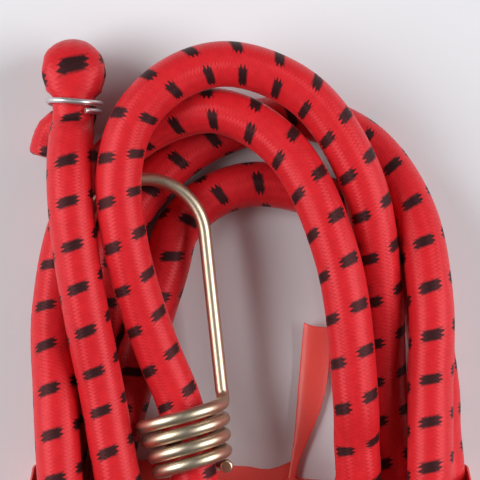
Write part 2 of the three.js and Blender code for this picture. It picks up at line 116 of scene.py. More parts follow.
# Mesh detail of the wires and the strip
WIRE_RESOLUTION = 8
WELD_DISTANCE = 1e-6
CUT_BEVEL_SHARE = 0.14
CUT_BEVEL_SEGMENTS = 2
QUAD_CORNERS = 4
SMOOTH_ANGLE_DEG = 50.0
STRIP_EDGE_SHARE = 0.3
STRIP_EDGE_SEGMENTS = 2
STRIP_EDGE_ANGLE_DEG = 60.0

# Braid of the sheath: yarn rows and the dark flecks
YARNS_EACH_WAY = 14
YARN_ROW = 0.82
YARN_STRANDS = 2
STRAND_RELIEF = 0.1
YARN_RELIEF = 0.12
FLECK_COLUMNS = 4
FLECK_PITCH = 9.2
FLECK_SLANT = 0.2
FLECK_HALF_WIDTH = 2.4
FLECK_HALF_LENGTH = 1.15
FLECK_BLUR = 0.5
FLECK_WAVER = 1.1
FLECK_NOISE_SCALE = 1.6
FLECK_NOISE_DETAIL = 3.0
PRONG_PITCH = 0.9
PRONG_DEPTH = 0.42
SHADE_NOISE_SCALE = 0.5
SHADE_NOISE_DETAIL = 4.0
# Painted shade: how much darker the hollows between yarn crests are painted
PAINTED_SHADE_FROM_RELIEF = 0.18
SHADE_FROM_NOISE = 0.9
# How the braid lies on the cord: distance along it, turn round it, and how far its flecks lie ahead
BRAID_LAY = [(0, 0.11, -3.2), (33, 0.11, -3.2), (56, 0.08, 1.2), (66, 0.08, -0.3), (119, 0.06, -0.5),
             (303, -0.04, 2.3), (335, 0.0, 3.0), (375, -0.06, 0.9), (405, 0.0, 0.3), (440, -0.03, 0.3),
             (562, 0.1, 0.6), (610, 0.09, 2.7), (629, 0.09, 2.9), (678, 0.14, 2.4), (1012, 0.1, 0.3),
             (1030, 0.15, 0.0), (1045, 0.12, 0.4), (1201, -0.08, -4.2), (1247, 0.0, -2.5),
             (1285, -0.07, -1.2), (1303, -0.05, -1.1), (1320, 0.0, -1.9), (1349, 0.07, -3.2),
             (1387, 0.1, -2.0)]
YARN_RED = (0.74, 0.020, 0.028, 1.0)
# Darker yarn tone, also the colour of the painted shade in the hollows between yarns
YARN_TONE_AND_PAINTED_SHADE = (0.50, 0.009, 0.015, 1.0)
FLECK_BLACK = (0.006, 0.004, 0.005, 1.0)
YARN_ROUGHNESS = 0.4
FLECK_DULLER = 0.18
YARN_BUMP = 0.28
YARN_SPECULAR = 0.7
YARN_SPECULAR_TINT = (1.0, 0.28, 0.3, 1.0)
YARN_SHEEN = 0.08
YARN_SHEEN_ROUGHNESS = 0.35
YARN_SHEEN_TINT = (1.0, 0.62, 0.62, 1.0)

# Wire, rubber and plastic: two tints that mix in clouds, and a finer grain
CLOUD_DETAIL = 3.0
GRAIN_DETAIL = 2.0
GRAIN_RATIO = 8.0
ZINC_TINTS = ((0.68, 0.59, 0.42, 1.0), (0.62, 0.50, 0.39, 1.0))
ZINC_ROUGHNESS = 0.4
STEEL_TINTS = ((0.78, 0.78, 0.79, 1.0), (0.66, 0.66, 0.67, 1.0))
STEEL_ROUGHNESS = 0.42
CUT_TINTS = ((0.17, 0.062, 0.032, 1.0), (0.26, 0.11, 0.06, 1.0))
CUT_ROUGHNESS = 0.6
WIRE_CLOUD_SCALE = 180.0
WIRE_GLOSS_SPREAD = 0.16
WIRE_BUMP = 0.08
WIRE_GRAIN_DEPTH = 0.05
RUBBER_TINTS = ((0.02, 0.018, 0.017, 1.0), (0.055, 0.05, 0.047, 1.0))
RUBBER_ROUGHNESS = 0.8
RUBBER_CLOUD_SCALE = 900.0
RUBBER_BUMP = 0.4
RUBBER_GRAIN_DEPTH = 0.2
STRIP_TINTS = ((0.90, 0.08, 0.065, 1.0), (0.98, 0.13, 0.105, 1.0))
STRIP_ROUGHNESS = 0.38
STRIP_GLOSS_SPREAD = 0.2
STRIP_CLOUD_SCALE = 300.0
STRIP_CLOUD_STRETCH = (1.0, 0.15, 1.0)
STRIP_BUMP = 0.2
STRIP_CLOUD_DEPTH = 0.3

# Floor and studio light, in metres and watts: a softbox on each side and a faint white world
FLOOR_COLOUR = (0.76, 0.76, 0.79, 1.0)
FLOOR_ROUGHNESS = 0.9
FLOOR_SIZE = 6.0
FLOOR_DROP = 0.0002
WORLD_COLOUR = (1.0, 1.0, 1.0, 1.0)
WORLD_STRENGTH = 0.09
SOFTBOX_SIZE = 0.55
SOFTBOX_ASIDE = 0.58
SOFTBOX_AHEAD = 0.1
SOFTBOX_HEIGHT = 0.44
SOFTBOX_POWER = 5.1

# Tie
TIE_WIDTH = 6.5
TIE_THICKNESS = 0.5
TIE_CORNER = 5.0
TIE_CORNER_STEPS = 8
TIE_SLANT = -0.26
TIE_LEFT = -46.0
TIE_RIGHT = 50.7
TIE_TOP = 24.4
TIE_BOTTOM = FLAT_DEPTH
TIE_Y = -52.0
TIE_KNOT_AT = (11.6, -54.6, 3.0)
TIE_KNOT_SIZE = (1.9, 1.9, 2.0)
KNOT_SUBDIVISIONS = 4
KNOT_CREASE = 0.16
KNOT_FOLDS = 3
KNOT_TWIST = 1.6
# Beside the knot the strip is gathered: places along its lower run, and how far its edge is drawn in
TIE_GATHER = [(-14.0, 0.0), (-6.0, 1.0), (2.0, 1.4), (4.5, 1.9), (6.5, 2.0), (8.5, 1.5), (11.3, 0.3),
              (13.0, 4.1), (21.0, 4.6), (27.0, 0.0)]
# Middle and width of the strip's loose tail, from the knot to its cut end
TIE_TAIL = [((11.4, -53.5, 2.8), 1.6), ((12.3, -48.5, 2.6), 1.6), ((14.7, -40.6, 2.3), 4.5),
            ((16.1, -33.3, 2.1), 6.5), ((16.8, -26.5, 2.2), 6.5), ((17.2, -18.6, 3.4), 6.0)]
# The tail's section across its width: a crease near its left edge, as shares of the width
TAIL_PROFILE = [(-0.5, -0.1), (-0.22, 0.06), (0.5, -0.1)]
# The tail's slanted cut: how far its points stand out, from the left corner on
TAIL_CUT = [0.2, -0.6, -0.8]

# The waist where crowns and heels meet
WAIST_Y = -52.0
LEAN = 1.5
# Angle between the stations of a quarter ellipse
QUARTER_STEP = math.pi / 6
# A bight has a first leg, the place of its end, a last leg, and the heights of its stations.
# A leg is its foot at the waist, its shoulder, and the power of its lean.
CROWNS = {
    "outer": dict(first=(34, (30.7, -11), LEAN), end=(-2, 38.3), last=(-9.4, (-26.3, 13.9), LEAN),
                  heights=(7.6, 8.2, 13.5, 17, 17, 18.2, 20.2, 20.8, 20.8, 18, 15)),
    "low": dict(first=(41.4, (41.6, -13), LEAN), end=(13, 27.2), last=(-39.6, (-30.4, -16), 0.8),
                heights=(17.7, 16.6, 16.6, 10.9, 5, 5, 5, 5, 5, 5.2, 7.5)),
    "inner": dict(first=(44.7, (43.6, -32), LEAN), end=(4.8, 12.4), last=(-28.6, (-16.5, -7), 0.8),
                  heights=(7.5, 5.2, 5, 5, 5, 5, 5, 5, 5, 5.2, 7.5)),
    "second": dict(first=(25.8, (25.2, -36), LEAN), end=(-5.4, 28.3),
                   last=(-39.2, (-40.9, -15.2), LEAN),
                   heights=(15.2, 17, 19.8, 20.9, 17.4, 14.6, 9.4, 5.4, 8.9, 15.4, 18.1)),
}
HEELS = {
    "first": dict(first=(-26.6, (-22, -76), LEAN), end=(5, -98.6), last=(34, (33.4, -74), LEAN),
                  heights=(17.9, 16.6, 15.8, 15.8, 15.8, 15, 11, 6.4, 5, 5.6, 7.6)),
    "second": dict(first=(-9.4, (-3.5, -65), LEAN), end=(18, -83), last=(41.4, (41, -64), LEAN),
                   heights=(15, 15, 15, 15.2, 15.4, 15.8, 15.8, 15.8, 16, 16.8, 17.7)),
    "third": dict(first=(-39.6, (-38.5, -78), LEAN), end=(3, -110), last=(44.7, (44, -74), LEAN),
                  heights=(7.5, 5.6, 5, 5, 5, 5, 5, 5, 5, 5.6, 7.5)),
    "fourth": dict(first=(-28.6, (-26.8, -70), LEAN), end=(-2, -91), last=(25.8, (22.6, -68), 1.0),
                   heights=(7.5, 5.6, 5, 5, 5, 5, 5, 5, 6.2, 11, 15.2)),
}
# Single strands between the bights, the coils and the folded ends
FIRST_LEG = [(-36.8, 22.4, 16.2), (-37.1, 16.4, 18.8), (-36.8, 8, 20.6), (-35.4, -4, 20.6),
             (-33.4, -16, 20), (-30.1, -33, 17.8)]
TO_FIRST_COIL = [(-25, 0, 20.6), (-21.8, -13, 18.4), (-18, -24, 16.4)]
TO_SECOND_HOOK = [(-38.4, -64, 16.9), (-39.6, -80, 16), (-41.4, -96, 15.8), (-41, -110, 15.9),
                  (-36.6, -122, 15.9), (-28.5, -129.4, 15.9)]
# The cord inside the coils: places along a coil's axis, from its wide end
THROUGH_FIRST_COIL = [2, -6, -16, -27]
INTO_SECOND_COIL = [-11, -4, 4]


def station(point, width=CORD_DIAMETER, thickness=CORD_DIAMETER):
    """A place on the cord's middle line, with the cord's width and thickness there."""
    return (np.array(point, float), width, thickness)


def bight(first, end, last, heights):
    """Stations of a crown or a heel: leaning leg, two quarter ellipses, leaning leg."""
    flat = []

    def lean(leg, share):
        foot, shoulder, power = leg
        x = shoulder[0] + (foot - shoulder[0]) * share ** power
        flat.append((x, shoulder[1] + (WAIST_Y - shoulder[1]) * share))

    def quarter(leg, angle):
        shoulder = leg[1]
        x = end[0] + (shoulder[0] - end[0]) * math.cos(angle)
        flat.append((x, shoulder[1] + (end[1] - shoulder[1]) * math.sin(angle)))

    lean(first, 1.0)
    lean(first, 0.5)
    for step in (0, 1, 2):
        quarter(first, step * QUARTER_STEP)
    flat.append(end)
    for step in (2, 1, 0):
        quarter(last, step * QUARTER_STEP)
    lean(last, 0.5)
    lean(last, 1.0)
    return [station((x, y, z)) for (x, y), z in zip(flat, heights)]


def folded_end(ring, outward, spread):
    """Stations of a folded end, from its cut tail to where the main leg leaves the ring."""
    side = np.cross(outward, UP)
    low = -LEG_SPACING / 2
    straight = FOLD_REACH - LEG_SPACING / 2
    found = []

    def add(along, across, height, width, thickness):
        point = ring + outward * along + side * across + UP * height
        found.append(station(point, width, thickness))

    tail_height = CORD_DIAMETER / 2 - ring[2]
    add(-TAIL_LENGTH, spread, tail_height, CORD_DIAMETER, CORD_DIAMETER)
    add(-TAIL_LENGTH / 2, spread * TAIL_BEND_SHARE, tail_height, PINCH_WIDTH, TAIL_THICKNESS)
    add(-PINCH_BELOW, 0, low, PINCH_WIDTH, FOLD_THICKNESS)
    add(PINCH_ABOVE, 0, low, PINCH_WIDTH, FOLD_THICKNESS)
    add(NECK_DISTANCE, 0, low, NECK_WIDTH, FOLD_THICKNESS)
    add(straight, 0, low, FOLD_WIDTH, FOLD_THICKNESS)
    for i, width in enumerate(FOLD_TURN_WIDTHS):
        angle = (i + 1) * math.pi / (len(FOLD_TURN_WIDTHS) + 1) - math.pi / 2
        reach = straight + LEG_SPACING / 2 * math.cos(angle)
        add(reach, 0, LEG_SPACING / 2 * math.sin(angle), width, FOLD_THICKNESS)
    add(straight, 0, -low, FOLD_WIDTH, FOLD_THICKNESS)
    add(NECK_DISTANCE, 0, -low, NECK_WIDTH, FOLD_THICKNESS)
    add(PINCH_ABOVE, 0, -low, PINCH_WIDTH, FOLD_THICKNESS)
    add(-PINCH_BELOW, 0, -low, PINCH_WIDTH, FOLD_THICKNESS)
    return found


def hook_along(tilt_deg):
    """Direction of a hook's axis, from its coil to its bend."""
    tilt = math.radians(tilt_deg)
    return np.array((-math.sin(tilt), math.cos(tilt), 0.0))


ALONG_1 = hook_along(HOOK_1_TILT_DEG)
ALONG_2 = hook_along(HOOK_2_TILT_DEG)
RING_2 = HOOK_2_COIL + ALONG_2 * RING_2_DISTANCE
RING_2[2] = RING_HEIGHT


def route_stations():
    """The cord's middle line, from the first cut tail to the second.

    Neighbouring bights share a station, which is taken once. The first coil takes the place of some
    stations of the bights on either side of it.
    """
    through_coil = [station(HOOK_1_COIL + ALONG_1 * along) for along in THROUGH_FIRST_COIL]
    into_coil = [station(HOOK_2_COIL + ALONG_2 * along) for along in INTO_SECOND_COIL]
    stations = folded_end(RING_1, np.array((0.0, 1.0, 0.0)), -TAIL_SPREAD)
    stations += [station(point) for point in FIRST_LEG]
    stations += bight(**HEELS["first"])
    stations += bight(**CROWNS["outer"])[1:-2]
    stations += [station(point) for point in TO_FIRST_COIL]
    stations += through_coil
    stations += bight(**HEELS["second"])[3:]
    stations += bight(**CROWNS["low"])[1:]
    stations += bight(**HEELS["third"])[1:]
    stations += bight(**CROWNS["inner"])[1:]
    stations += bight(**HEELS["fourth"])[1:]
    stations += bight(**CROWNS["second"])[1:]
    stations += [station(point) for point in TO_SECOND_HOOK]
    stations += into_coil
    stations += folded_end(RING_2, ALONG_2, -SECOND_TAIL_SPREAD)[::-1]
    return stations


def centripetal(p0, p1, p2, p3, share):
    """Point and direction on a centripetal Catmull-Rom piece between p1 and p2."""
    d0, d1, d2 = (math.sqrt(np.linalg.norm(b - a)) for a, b in ((p0, p1), (p1, p2), (p2, p3)))
    t1 = ((p1 - p0) / d0 - (p2 - p0) / (d0 + d1) + (p2 - p1) / d1) * d1
    t2 = ((p2 - p1) / d1 - (p3 - p1) / (d1 + d2) + (p3 - p2) / d2) * d1
    c2 = -3 * p1 + 3 * p2 - 2 * t1 - t2
    c3 = 2 * p1 - 2 * p2 + t1 + t2
    point = p1 + t1 * share + c2 * share ** 2 + c3 * share ** 3
    direction = t1 + 2 * c2 * share + 3 * c3 * share ** 2
    return point, direction / np.linalg.norm(direction)


def sample_route(stations, step):
    """Points, directions, widths and thicknesses along a smooth curve through the stations."""
    places = [s[0] for s in stations]
    places = [2 * places[0] - places[1]] + places + [2 * places[-1] - places[-2]]
    samples = []
    for i, (start, finish) in enumerate(zip(stations[:-1], stations[1:])):
        count = math.ceil(np.linalg.norm(finish[0] - start[0]) / step)
        last = 1 if i == len(stations) - 2 else 0
        for k in range(count + last):
            share = k / count
            point, direction = centripetal(*places[i:i + 4], share)
            eased = share * share * (3 - 2 * share)
            width = start[1] + (finish[1] - start[1]) * eased
            thickness = start[2] + (finish[2] - start[2]) * eased
            samples.append([point, direction, width, thickness])
    return samples


def add_frames(samples):
    """A side and a normal for each sample, that turn no more than the path does."""
    side = Vector(np.cross(samples[0][1], UP)).normalized()
    before = Vector(samples[0][1])
    framed = []
    for point, direction, width, thickness in samples:
        ahead = Vector(direction)
        side = before.rotation_difference(ahead) @ side
        side = (side - ahead * side.dot(ahead)).normalized()
        before = ahead
        normal = side.cross(ahead)
        framed.append((point, direction, np.array(side), np.array(normal), width, thickness))
    return framed


def level_ends(framed):
    """Spreads a twist along the cord, so that its folded far end lies as level as its first."""
    _, direction, side, normal, _, _ = framed[-1]
    level = np.cross(direction, UP)
    twist = math.atan(np.dot(level, normal) / np.dot(level, side))
    levelled = []
    for i, (point, direction, side, normal, width, thickness) in enumerate(framed):
        angle = twist * i / (len(framed) - 1)
        side = side * math.cos(angle) + normal * math.sin(angle)
        levelled.append((point, direction, side, np.cross(side, direction), width, thickness))
    return levelled


def in_frame(point):
    """A point of the route, in the frame's metres."""
    return (np.asarray(point) + SHIFT) * MM


# Camera
camera_data = bpy.data.cameras.new("camera")
camera_data.sensor_width = SENSOR_WIDTH
camera_data.lens = SENSOR_WIDTH * CAMERA_DISTANCE / FRAME_SIZE
camera = bpy.data.objects.new("camera", camera_data)
bpy.context.collection.objects.link(camera)
camera.location = in_frame((0, 0, CAMERA_FOCUS_HEIGHT + CAMERA_DISTANCE))
bpy.context.scene.camera = camera


def link_mesh(name, vertices, faces):
    mesh = bpy.data.meshes.new(name)
    mesh.from_pydata([tuple(v) for v in vertices], [], faces)
    mesh.update()
    piece = bpy.data.objects.new(name, mesh)
    bpy.context.collection.objects.link(piece)
    return piece


def moved(sample, distance):
    """The sample moved along the cord."""
    return (sample[0] + sample[1] * distance, *sample[1:])


def section(sample, sides, share):
    """Ring of points round a sample, in the frame's metres, pressed flat where the hank lies."""
    point, _, side, normal, width, thickness = sample
    ring = []
    for k in range(sides):
        angle = (k + 0.5) * 2 * math.pi / sides
        across = side * (math.cos(angle) * share * width / 2)
        ring.append(in_frame(point + across + normal * (math.sin(angle) * share * thickness / 2)))
        ring[-1][2] = max(ring[-1][2], 0.0)
    return ring


def tube(name, samples, sides, shares):
    """Closed tube through the samples, its section scaled at each by its share."""
    vertices = []
    for sample, share in zip(samples, shares):
        vertices += section(sample, sides, share)
    last_ring = (len(samples) - 1) * sides
    faces = []
    for i in range(0, last_ring, sides):
        for k in range(sides):
            a, b = i + k, i + (k + 1) % sides
            faces.append((a, a + sides, b + sides, b))
    faces.append(tuple(range(sides)))
    faces.append(tuple(range(last_ring + sides - 1, last_ring - 1, -1)))
    piece = link_mesh(name, vertices, faces)
    for polygon in piece.data.polygons:
        polygon.use_smooth = True
    return piece


# Cord
stations = route_stations()
cord_samples = level_ends(add_frames(sample_route(stations, SECTION_SPACING)))
cord_length = sum(np.linalg.norm(b[0] - a[0]) for a, b in zip(cord_samples[:-1], cord_samples[1:]))


def map_braid(sheath, samples):
    """UV map of the sheath: turns round it and distance along it, as the braid lies on it."""
    steps = [np.linalg.norm(b[0] - a[0]) for a, b in zip(samples[:-1], samples[1:])]
    along = np.cumsum([-CUT_RIM[0][0], *steps])
    distances, turns, leads = zip(*BRAID_LAY)
    turn = np.interp(along, distances, turns)
    laid = (along - np.interp(along, distances, leads)) / cord_length
    wall_faces = (len(samples) - 1) * CORD_SIDES
    uv = sheath.data.uv_layers.new(name="cord")
    for polygon in sheath.data.polygons:
        closes_ring = polygon.index < wall_faces and polygon.index % CORD_SIDES == CORD_SIDES - 1
        for corner in polygon.loop_indices:
            ring, around = divmod(sheath.data.loops[corner].vertex_index, CORD_SIDES)
            if closes_ring and around == 0:
                around = CORD_SIDES
            uv.data[corner].uv = (around / CORD_SIDES - turn[ring], laid[ring])


def braided_cord():
    """The sheath, with a rim at each cut end that leaves the core in view."""
    first = [moved(cord_samples[0], distance) for distance, _ in CUT_RIM]
    last = [moved(cord_samples[-1], -distance) for distance, _ in reversed(CUT_RIM)]
    rim = [share for _, share in CUT_RIM]
    plain = cord_samples[RIM_SECTIONS:-RIM_SECTIONS]
    samples = [*first, *plain, *last]
    sheath = tube("elastic_cord", samples, CORD_SIDES, rim + [1.0] * len(plain) + rim[::-1])
    map_braid(sheath, samples)
    return sheath


def rubber_core():
    """Core inside the sheath, a little short of its cut ends."""
    ends = [moved(cord_samples[0], CORE_INSET), moved(cord_samples[-1], -CORE_INSET)]
    between = cord_samples[CORE_SECTION_SKIP:-CORE_SECTION_SKIP:CORE_SECTION_SKIP]
    samples = [ends[0], *between, ends[1]]
    return tube("rubber_strands", samples, CORE_SIDES, [CORE_DIAMETER / CORD_DIAMETER] * len(samples))


cord = braided_cord()
core = rubber_core()


def select_only(piece):
    bpy.ops.object.select_all(action="DESELECT")
    piece.select_set(True)
    bpy.context.view_layer.objects.active = piece


def wire(name, points, diameter):
    """Round wire along the points, made from a curve with depth, with its cut ends bevelled."""
    curve = bpy.data.curves.new(name, "CURVE")
    curve.dimensions = "3D"
    curve.bevel_depth = diameter / 2 * MM
    curve.bevel_resolution = WIRE_RESOLUTION
    spline = curve.splines.new("POLY")
    spline.points.add(len(points) - 1)
    for target, point in zip(spline.points, points):
        target.co = (*in_frame(point), 1.0)
    piece = bpy.data.objects.new(name, curve)
    bpy.context.collection.objects.link(piece)
    select_only(piece)
    bpy.ops.object.convert(target="MESH")
    piece = bpy.context.object
    bpy.ops.object.mode_set(mode="EDIT")
    bpy.ops.mesh.select_all(action="SELECT")
    bpy.ops.mesh.remove_doubles(threshold=WELD_DISTANCE)
    bpy.ops.mesh.fill_holes(sides=0)
    bpy.ops.mesh.select_all(action="SELECT")
    bpy.ops.mesh.normals_make_consistent(inside=False)
    bpy.ops.mesh.select_mode(type="FACE")
    bpy.ops.mesh.select_all(action="DESELECT")
    bpy.ops.object.mode_set(mode="OBJECT")
    for polygon in piece.data.polygons:
        polygon.select = len(polygon.vertices) > QUAD_CORNERS
    bpy.ops.object.mode_set(mode="EDIT")
    bpy.ops.mesh.bevel(offset=diameter * CUT_BEVEL_SHARE * MM, segments=CUT_BEVEL_SEGMENTS,
                       affect="EDGES")
    bpy.ops.object.mode_set(mode="OBJECT")
    bpy.ops.object.shade_smooth_by_angle(angle=math.radians(SMOOTH_ANGLE_DEG))
    return piece


def turned(points, tilt_deg, place):
    """Points turned about +Z and moved to their place."""
    c, s = math.cos(math.radians(tilt_deg)), math.sin(math.radians(tilt_deg))
    return [place + np.array((c * x - s * y, s * x + c * y, z)) for x, y, z in points]


def hook_points():
    """Wire of a hook: tip, bend, shank and conical coil, its axis +Y, its wide end at the origin."""
    wide = (COIL_WIDE_DIAMETER - HOOK_WIRE) / 2
    narrow = (COIL_NARROW_DIAMETER - HOOK_WIRE) / 2
    start = math.radians(SHANK_START_DEG)
    foot = np.array((wide * math.cos(start) + SHANK_BEND_RADIUS * math.sin(start), SHANK_BEND_RADIUS,
                     wide * math.sin(start) - SHANK_BEND_RADIUS * math.cos(start)))
    reach = math.hypot(foot[0], BEND_DISTANCE - foot[1])
    meets = math.atan2(foot[1] - BEND_DISTANCE, foot[0]) + math.acos(BEND_RADIUS / reach)
    points = [(-BEND_RADIUS, BEND_DISTANCE - TIP_LENGTH, foot[2])]
    for i in range(BEND_STEPS + 1):
        angle = math.pi + (meets - math.pi) * i / BEND_STEPS
        points.append((BEND_RADIUS * math.cos(angle), BEND_DISTANCE + BEND_RADIUS * math.sin(angle),
                       foot[2]))
    sweep = np.array((-math.sin(start), 0.0, math.cos(start)))
    for i in range(SHANK_BEND_STEPS):
        angle = math.pi / 2 * i / SHANK_BEND_STEPS
        points.append(foot + sweep * SHANK_BEND_RADIUS * (1 - math.cos(angle))
                      + np.array((0.0, -SHANK_BEND_RADIUS * math.sin(angle), 0.0)))
    steps = round(COIL_TURNS * COIL_STEPS_PER_TURN)
    for i in range(steps + 1):
        share = i / steps
        angle = start + share * COIL_TURNS * 2 * math.pi
        radius = wide + (narrow - wide) * share
        points.append((radius * math.cos(angle), -share * COIL_LENGTH, radius * math.sin(angle)))
    return points


def ring_wire_points():
    """Open wire ring round the two legs of a folded end, its ends side by side."""
    sweep = math.radians(360 + RING_OVERLAP_DEG)
    points = []
    for i in range(RING_STEPS + 1):
        share = i / RING_STEPS
        angle = math.radians(RING_START_DEG) + share * sweep
        c, s = math.cos(angle), math.sin(angle)
        points.append((RING_HALF_WIDTH * math.copysign(abs(c) ** RING_SQUARENESS, c),
                       (0.5 - share) * (RING_WIRE + RING_CLEARANCE) * sweep / (2 * math.pi),
                       RING_HALF_HEIGHT * math.copysign(abs(s) ** RING_SQUARENESS, s)))
    return points


hook_1 = wire("wire_hook_1", turned(hook_points(), HOOK_1_TILT_DEG, HOOK_1_COIL), HOOK_WIRE)
hook_2 = wire("wire_hook_2", turned(hook_points(), HOOK_2_TILT_DEG, HOOK_2_COIL), HOOK_WIRE)
ring_1 = wire("pinched_ring_1", turned(ring_wire_points(), RING_1_TILT_DEG, RING_1), RING_WIRE)
ring_2 = wire("pinched_ring_2", turned(ring_wire_points(), HOOK_2_TILT_DEG, RING_2), RING_WIRE)


def extruded_strip(name, profile, moves):
    """A profile extruded step by step. Each step moves, turns and scales it about its middle."""
    bpy.ops.object.select_all(action="DESELECT")
    bpy.ops.mesh.primitive_plane_add(size=1.0)
    strip = bpy.context.object
    strip.name = name
    strip.data.name = name
    bpy.ops.object.mode_set(mode="EDIT")
    bpy.ops.mesh.select_mode(type="VERT")
    bpy.ops.mesh.select_all(action="SELECT")
    bpy.ops.mesh.merge(type="CENTER")
    bpy.ops.transform.translate(value=Vector(profile[0]))
    for before, after in zip(profile[:-1], profile[1:]):
        way = Vector(after) - Vector(before)
        bpy.ops.mesh.extrude_vertices_move(TRANSFORM_OT_translate={"value": way})
    bpy.ops.mesh.select_mode(type="EDGE")
    bpy.ops.mesh.select_all(action="SELECT")
    middle = (Vector(profile[0]) + Vector(profile[-1])) / 2
    for move, turn_deg, scale in moves:
        bpy.ops.mesh.extrude_edges_move(TRANSFORM_OT_translate={"value": Vector(move)})
        middle += Vector(move)
        if turn_deg:
            bpy.ops.transform.rotate(value=math.radians(-turn_deg), orient_axis="Z",
                                     center_override=middle)
        if scale != 1.0:
            bpy.ops.transform.resize(value=(scale, scale, scale), center_override=middle)
    bpy.ops.object.mode_set(mode="OBJECT")
    return strip


def thicken(piece, thickness, levels):
    """Gives a strip its thickness, rounds its edges and smooths it."""
    select_only(piece)
    solid = piece.modifiers.new("thickness", "SOLIDIFY")
    solid.thickness = thickness * MM
    solid.offset = 0.0
    bpy.ops.object.modifier_apply(modifier=solid.name)
    edges = piece.modifiers.new("edges", "BEVEL")
    edges.width = thickness * STRIP_EDGE_SHARE * MM
    edges.segments = STRIP_EDGE_SEGMENTS
    edges.limit_method = "ANGLE"
    edges.angle_limit = math.radians(STRIP_EDGE_ANGLE_DEG)
    bpy.ops.object.modifier_apply(modifier=edges.name)
    if levels:
        fine = piece.modifiers.new("fine", "SUBSURF")
        fine.levels = levels
        fine.render_levels = levels
        bpy.ops.object.modifier_apply(modifier=fine.name)
    bpy.ops.object.shade_smooth_by_angle(angle=math.radians(SMOOTH_ANGLE_DEG))


def tie_band():
    """The strip's turn round the waist of the hank."""
    half = TIE_THICKNESS / 2
    left, right = TIE_LEFT + half, TIE_RIGHT - half
    low, high = TIE_BOTTOM + half, TIE_TOP - half
    path = []
    for x, z, start_deg in ((right, low, -90), (right, high, 0), (left, high, 90), (left, low, 180)):
        middle_x = x - math.copysign(TIE_CORNER, x)
        middle_z = low + TIE_CORNER if z == low else high - TIE_CORNER
        for i in range(TIE_CORNER_STEPS + 1):
            angle = math.radians(start_deg + 90 * i / TIE_CORNER_STEPS)
            path.append((middle_x + TIE_CORNER * math.cos(angle),
                         middle_z + TIE_CORNER * math.sin(angle)))
    marks = [(x, z, 0.0) for x, z in path] + [(x, low, drawn) for x, drawn in TIE_GATHER]
    marks.append(marks[0])
    points = [in_frame((x, TIE_Y + TIE_SLANT * z - drawn / 2, z)) for x, z, drawn in marks]
    widths = [TIE_WIDTH - drawn for _, _, drawn in marks]
    across = np.array((0.0, TIE_WIDTH / 2 * MM, 0.0))
    moves = [(points[i + 1] - points[i], 0, widths[i + 1] / widths[i])
             for i in range(len(points) - 1)]
    band = extruded_strip("strip_band", (points[0] - across, points[0] + across), moves)
    select_only(band)
    bpy.ops.object.mode_set(mode="EDIT")
    bpy.ops.mesh.select_all(action="SELECT")
    bpy.ops.mesh.remove_doubles(threshold=WELD_DISTANCE)
    bpy.ops.mesh.normals_make_consistent(inside=False)
    bpy.ops.object.mode_set(mode="OBJECT")
    thicken(band, TIE_THICKNESS, levels=0)
    return band


def tie_tail():
    """The strip's loose tail, from the knot to its cut end."""
    marks = [(in_frame(at), width) for at, width in TIE_TAIL]
    ways = [b[0] - a[0] for a, b in zip(marks[:-1], marks[1:])]
    headings = [math.degrees(math.atan2(-way[0], way[1])) for way in ways]
    between = [(a + b) / 2 for a, b in zip(headings[:-1], headings[1:])]
    headings = [headings[0], *between, headings[-1]]
    first = math.radians(headings[0])
    side = np.array((math.cos(first), math.sin(first), 0.0))
    start, width = marks[0]
    profile = [start + (side * across + UP * up) * width * MM for across, up in TAIL_PROFILE]
    moves = [(way, headings[i + 1] - headings[i], marks[i + 1][1] / marks[i][1])
             for i, way in enumerate(ways)]
    tail = extruded_strip("strip_tail", profile, moves)
    cut_end = sorted(tail.data.vertices, key=lambda vertex: vertex.co.y)[-len(TAIL_CUT):]
    for vertex, proud in zip(sorted(cut_end, key=lambda vertex: vertex.co.x), TAIL_CUT):
        vertex.co += Vector(ways[-1]).normalized() * proud * MM
    thicken(tail, TIE_THICKNESS, levels=1)
    return tail


def tie_knot():
    """The strip's half knot: a lump with creases drawn into it."""
    bpy.ops.object.select_all(action="DESELECT")
    bpy.ops.mesh.primitive_ico_sphere_add(subdivisions=KNOT_SUBDIVISIONS, radius=1.0)
    knot = bpy.context.object
    knot.name = "strip_knot"
    for vertex in knot.data.vertices:
        x, y, z = vertex.co
        crease = 1 - KNOT_CREASE * math.cos(KNOT_FOLDS * math.atan2(z, y) + KNOT_TWIST * x) ** 2
        lump = np.array((x, y, z)) * crease * np.array(TIE_KNOT_SIZE)
        vertex.co = in_frame(np.array(TIE_KNOT_AT) + lump)
    bpy.ops.object.shade_smooth()
    return knot


def tie_strip():
    """Band, knot and tail as one piece."""
    parts = [tie_band(), tie_tail(), tie_knot()]
    bpy.ops.object.select_all(action="DESELECT")
    for part in parts:
        part.select_set(True)
    bpy.context.view_layer.objects.active = parts[0]
    bpy.ops.object.join()
    strip = bpy.context.object
    strip.name = "hank_strip"
    return strip


tie = tie_strip()

pieces = [(cord, "hank", "braided_sheath", "sheath"), (core, "hank", "rubber_core", "core"),
          (hook_1, "first_hook", "hook_1", "hook"), (hook_2, "second_hook", "hook_2", "hook"),
          (ring_1, "hank", "end_ring_1", "ring"), (ring_2, "hank", "end_ring_2", "ring"),
          (tie, "hank", "hank_tie", "tie")]
for piece, body, cad_node, slot in pieces:
    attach(piece, body)
    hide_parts(cad_node)

# Materials

# Places of a colour Mix node's sockets: its factor and two colours, and its result
MIX_INPUTS = (0, 6, 7)
MIX_RESULT = 2


def feed(tree, target, value):
    """Links another node's socket to an input, or sets the input to a plain value."""
    if isinstance(value, bpy.types.NodeSocket):
        tree.links.new(value, target)
    else:
        target.default_value = value


def node(tree, kind, **values):
    """A new node, with the inputs of these names fed."""
    made = tree.nodes.new(kind)
    for key, value in values.items():
        feed(tree, made.inputs[key], value)
    return made


def maths(tree, operation, *values):
    """Result of a Math node that is fed these values."""
    made = tree.nodes.new("ShaderNodeMath")
    made.operation = operation
    for target, value in zip(made.inputs, values):
        feed(tree, target, value)
    return made.outputs[0]


